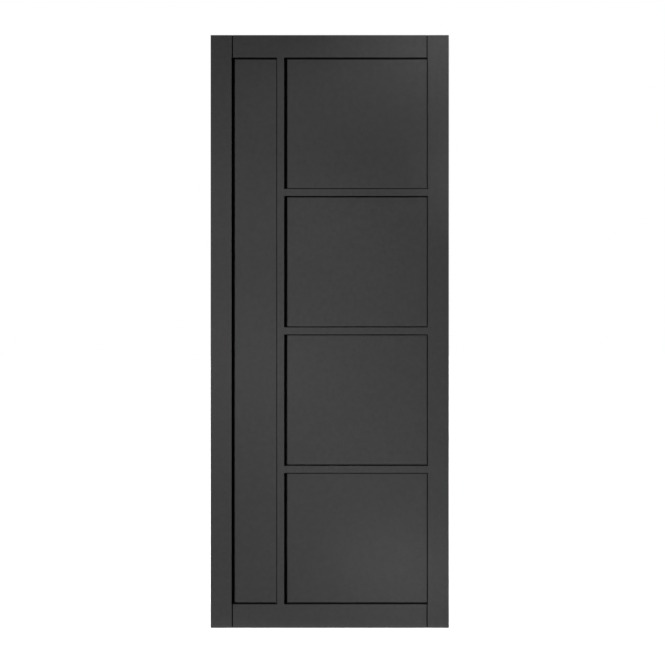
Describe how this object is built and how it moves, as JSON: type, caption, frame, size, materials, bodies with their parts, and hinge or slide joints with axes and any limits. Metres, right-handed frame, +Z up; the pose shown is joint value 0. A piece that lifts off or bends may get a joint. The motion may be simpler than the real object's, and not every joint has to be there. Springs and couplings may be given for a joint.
{
  "type": "interior door",
  "caption": "Painted interior door leaf: a stile-and-rail frame with an off-centre mullion, a tall narrow side panel and a stack of flat panels between slim bars.",
  "frame": {"origin": "middle of the leaf's bottom edge", "axes": "+Z up the leaf, +X to the right of the shown face, the shown face looks along -Y"},
  "size_m": [0.82, 0.035, 2.04],
  "materials": {
    "frame_paint": "satin black paint",
    "panel_paint": "satin black paint",
    "lipping_paint": "satin black paint",
    "beech": "bare planed beech"
  },
  "bodies": {
    "root": {"left_stile": "frame_paint", "right_stile": "frame_paint", "left_lipping": "lipping_paint", "right_lipping": "lipping_paint", "top_rail": "frame_paint", "bottom_rail": "frame_paint", "mullion": "frame_paint", "lower_bar": "frame_paint", "middle_bar": "frame_paint", "upper_bar": "frame_paint", "side_panel": "panel_paint", "bottom_panel": "panel_paint", "lower_panel": "panel_paint", "upper_panel": "panel_paint", "top_panel": "panel_paint", "rail_dowels": "beech", "mullion_dowels": "beech"}
  },
  "joints": []
}
